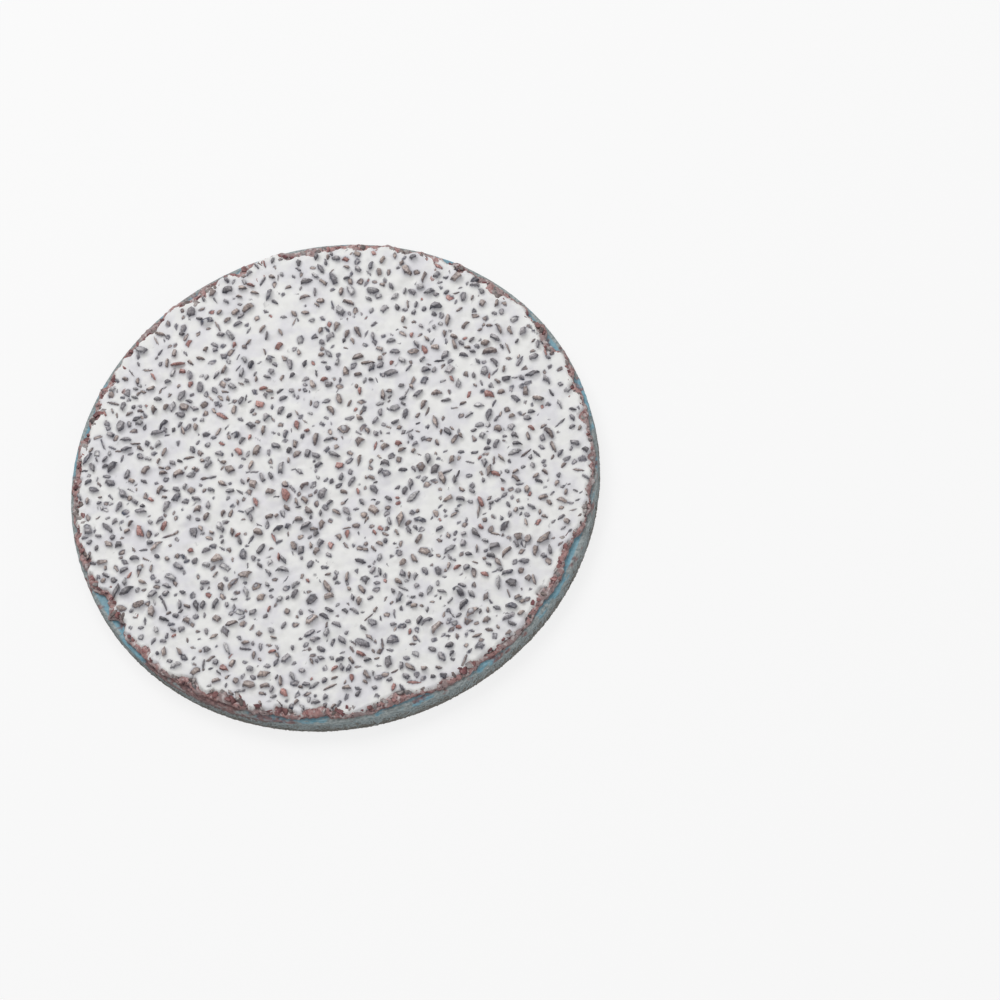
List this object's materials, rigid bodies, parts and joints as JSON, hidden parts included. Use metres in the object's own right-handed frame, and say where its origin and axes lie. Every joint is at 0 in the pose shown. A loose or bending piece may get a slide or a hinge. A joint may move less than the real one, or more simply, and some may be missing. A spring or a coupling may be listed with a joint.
{
  "type": "hook and loop sanding disc",
  "caption": "Small round sanding disc: white-coated coarse grit on a blue sheet, ragged resin rim, and a brushed loop back that grips a hook pad.",
  "frame": {"origin": "centre of the disc, on the plane of the loop tips that it lies on", "axes": "+Z out of the sanding face, along the disc's axis; +X along the rows of loops; +Y across them"},
  "size_m": [0.0254, 0.0254, 0.0019],
  "materials": {
    "brushed_loops": "brushed knit, matt",
    "blue_sheet": "resin-soaked sheet, fibrous cut edge",
    "red_brown_resin": "cured resin, lumpy and broken at the rim",
    "white_coat": "chalky white top coat over grey and brown grains"
  },
  "bodies": {
    "root": {"loop_knit": "brushed_loops", "backing_sheet": "blue_sheet", "resin_bond": "red_brown_resin", "grain_coat": "white_coat"}
  },
  "joints": []
}
